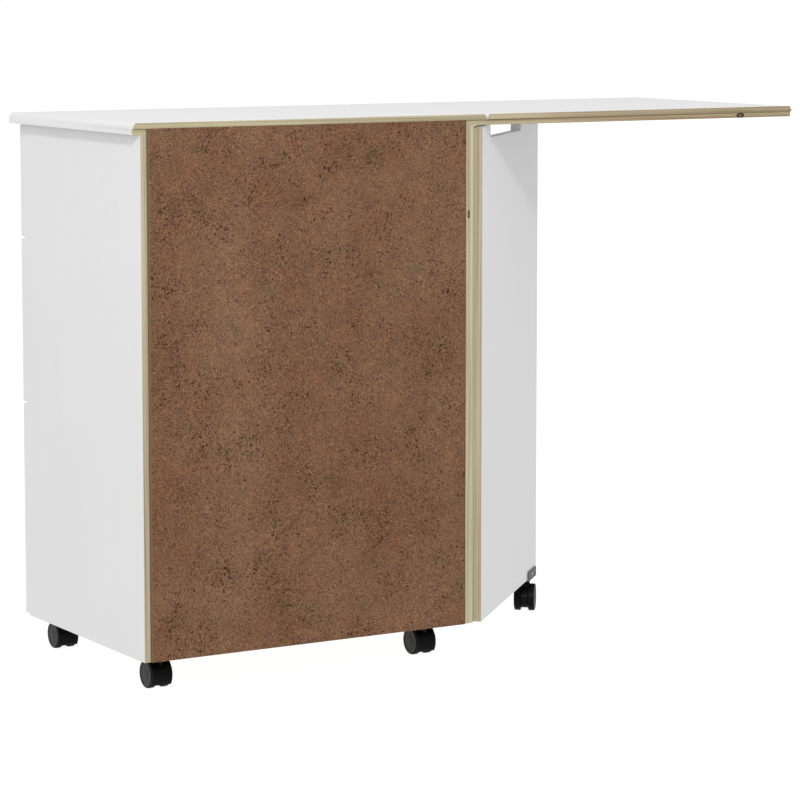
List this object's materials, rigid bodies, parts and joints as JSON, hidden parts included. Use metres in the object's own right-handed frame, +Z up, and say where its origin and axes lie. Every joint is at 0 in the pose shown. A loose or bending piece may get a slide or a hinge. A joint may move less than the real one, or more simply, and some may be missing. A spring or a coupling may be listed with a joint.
{
  "type": "sewing table",
  "caption": "White pine sewing table on casters: a cabinet of drawers with a hinged leaf held level by a swing-out gate that rolls on its own caster.",
  "frame": {"origin": "middle of the footprint, on the floor", "axes": "+X along the table from the leaf to the cabinet, +Y towards the bare back, +Z up; the drawers open to -Y"},
  "size_m": [1.056, 0.403, 0.75],
  "materials": {
    "painted_pine": "white satin paint on pine, bare on the rear edges",
    "bare_pine": "unfinished planed pine",
    "hardboard": "brown hardboard, unfinished",
    "painted_knob": "white satin paint on turned wood",
    "zinc_plated_steel": "zinc plated",
    "bronzed_steel": "brown lacquered panel pins",
    "black_steel": "black enamelled caster plate and stem",
    "grey_steel": "dark grey steel angle",
    "black_plastic": "black moulded nylon",
    "wheel_plastic": "dark grey moulded nylon",
    "felt": "grey felt strip"
  },
  "bodies": {
    "cabinet": {"right_side_panel": "painted_pine", "left_side_panel": "painted_pine", "bottom_board": "bare_pine", "top_board": "painted_pine", "back_panel": "hardboard", "front_stretcher": "bare_pine", "rear_stretcher": "bare_pine", "lower_rail": "bare_pine", "upper_rail": "bare_pine", "drawer_runners": "bare_pine", "leaf_hinge_top_flaps": "zinc_plated_steel", "gate_hinge_side_flaps": "zinc_plated_steel", "hinge_pins": "zinc_plated_steel", "cabinet_screws": "zinc_plated_steel", "back_nails": "bronzed_steel", "rear_right_caster_plate": "black_steel", "rear_left_caster_plate": "black_steel", "front_right_caster_plate": "black_steel", "front_left_caster_plate": "black_steel"},
    "leaf": {"leaf_board": "painted_pine", "leaf_hinge_leaf_flaps": "zinc_plated_steel", "leaf_screws": "zinc_plated_steel"},
    "gate": {"gate_panel": "painted_pine", "gate_hinge_gate_flaps": "zinc_plated_steel", "gate_caster_bracket": "grey_steel", "gate_caster_stem": "black_steel", "gate_glide": "felt", "gate_screws": "zinc_plated_steel"},
    "upper_drawer": {"upper_drawer_front": "painted_pine", "upper_drawer_box": "bare_pine", "upper_drawer_bottom": "hardboard", "upper_drawer_knob": "painted_knob"},
    "middle_drawer": {"middle_drawer_front": "painted_pine", "middle_drawer_box": "bare_pine", "middle_drawer_bottom": "hardboard", "middle_drawer_knob": "painted_knob"},
    "lower_drawer": {"lower_drawer_front": "painted_pine", "lower_drawer_box": "bare_pine", "lower_drawer_bottom": "hardboard", "lower_drawer_knob": "painted_knob"},
    "rear_right_caster": {"rear_right_caster_housing": "black_plastic", "rear_right_caster_axle": "zinc_plated_steel"},
    "rear_right_wheel_a": {"rear_right_caster_wheel_a": "wheel_plastic"},
    "rear_right_wheel_b": {"rear_right_caster_wheel_b": "wheel_plastic"},
    "rear_left_caster": {"rear_left_caster_housing": "black_plastic", "rear_left_caster_axle": "zinc_plated_steel"},
    "rear_left_wheel_a": {"rear_left_caster_wheel_a": "wheel_plastic"},
    "rear_left_wheel_b": {"rear_left_caster_wheel_b": "wheel_plastic"},
    "front_right_caster": {"front_right_caster_housing": "black_plastic", "front_right_caster_axle": "zinc_plated_steel"},
    "front_right_wheel_a": {"front_right_caster_wheel_a": "wheel_plastic"},
    "front_right_wheel_b": {"front_right_caster_wheel_b": "wheel_plastic"},
    "front_left_caster": {"front_left_caster_housing": "black_plastic", "front_left_caster_axle": "zinc_plated_steel"},
    "front_left_wheel_a": {"front_left_caster_wheel_a": "wheel_plastic"},
    "front_left_wheel_b": {"front_left_caster_wheel_b": "wheel_plastic"},
    "gate_caster": {"gate_caster_housing": "black_plastic", "gate_caster_axle": "zinc_plated_steel"},
    "gate_wheel_a": {"gate_caster_wheel_a": "wheel_plastic"},
    "gate_wheel_b": {"gate_caster_wheel_b": "wheel_plastic"}
  },
  "joints": [
    {"name": "leaf_hinge", "type": "hinge", "parent": "cabinet", "child": "leaf", "pos_m": [-0.007, 0, 0.732], "axis": [0, 1, 0], "range_deg": [0, 4]},
    {"name": "gate_hinge", "type": "hinge", "parent": "cabinet", "child": "gate", "pos_m": [0.01175, 0.1891, 0.39], "axis": [0, 0, -1], "range_deg": [-45, 45]},
    {"name": "upper_drawer_slide", "type": "slide", "parent": "cabinet", "child": "upper_drawer", "axis": [0, -1, 0], "range_m": [0, 0.28]},
    {"name": "middle_drawer_slide", "type": "slide", "parent": "cabinet", "child": "middle_drawer", "axis": [0, -1, 0], "range_m": [0, 0.28]},
    {"name": "lower_drawer_slide", "type": "slide", "parent": "cabinet", "child": "lower_drawer", "axis": [0, -1, 0], "range_m": [0, 0.28]},
    {"name": "rear_right_swivel", "type": "hinge", "parent": "cabinet", "child": "rear_right_caster", "pos_m": [0.4735, 0.1555, 0.04], "axis": [0, 0, 1], "continuous": true},
    {"name": "rear_right_wheel_a_spin", "type": "hinge", "parent": "rear_right_caster", "child": "rear_right_wheel_a", "pos_m": [0.4735, 0.1425, 0.019], "axis": [1, 0, 0], "continuous": true},
    {"name": "rear_right_wheel_b_spin", "type": "hinge", "parent": "rear_right_caster", "child": "rear_right_wheel_b", "pos_m": [0.4735, 0.1425, 0.019], "axis": [1, 0, 0], "continuous": true},
    {"name": "rear_left_swivel", "type": "hinge", "parent": "cabinet", "child": "rear_left_caster", "pos_m": [0.0655, 0.1555, 0.04], "axis": [0, 0, 1], "continuous": true},
    {"name": "rear_left_wheel_a_spin", "type": "hinge", "parent": "rear_left_caster", "child": "rear_left_wheel_a", "pos_m": [0.0655, 0.1425, 0.019], "axis": [1, 0, 0], "continuous": true},
    {"name": "rear_left_wheel_b_spin", "type": "hinge", "parent": "rear_left_caster", "child": "rear_left_wheel_b", "pos_m": [0.0655, 0.1425, 0.019], "axis": [1, 0, 0], "continuous": true},
    {"name": "front_right_swivel", "type": "hinge", "parent": "cabinet", "child": "front_right_caster", "pos_m": [0.4735, -0.1365, 0.04], "axis": [0, 0, 1], "continuous": true},
    {"name": "front_right_wheel_a_spin", "type": "hinge", "parent": "front_right_caster", "child": "front_right_wheel_a", "pos_m": [0.4735, -0.1495, 0.019], "axis": [1, 0, 0], "continuous": true},
    {"name": "front_right_wheel_b_spin", "type": "hinge", "parent": "front_right_caster", "child": "front_right_wheel_b", "pos_m": [0.4735, -0.1495, 0.019], "axis": [1, 0, 0], "continuous": true},
    {"name": "front_left_swivel", "type": "hinge", "parent": "cabinet", "child": "front_left_caster", "pos_m": [0.0655, -0.1365, 0.04], "axis": [0, 0, 1], "continuous": true},
    {"name": "front_left_wheel_a_spin", "type": "hinge", "parent": "front_left_caster", "child": "front_left_wheel_a", "pos_m": [0.0655, -0.1495, 0.019], "axis": [1, 0, 0], "continuous": true},
    {"name": "front_left_wheel_b_spin", "type": "hinge", "parent": "front_left_caster", "child": "front_left_wheel_b", "pos_m": [0.0655, -0.1495, 0.019], "axis": [1, 0, 0], "continuous": true},
    {"name": "gate_swivel", "type": "hinge", "parent": "gate", "child": "gate_caster", "pos_m": [-0.2345, -0.04548, 0.04], "axis": [0, 0, 1], "continuous": true},
    {"name": "gate_wheel_a_spin", "type": "hinge", "parent": "gate_caster", "child": "gate_wheel_a", "pos_m": [-0.22632, -0.03538, 0.019], "axis": [0.7771, -0.6293, 0], "continuous": true},
    {"name": "gate_wheel_b_spin", "type": "hinge", "parent": "gate_caster", "child": "gate_wheel_b", "pos_m": [-0.22632, -0.03538, 0.019], "axis": [0.7771, -0.6293, 0], "continuous": true}
  ]
}
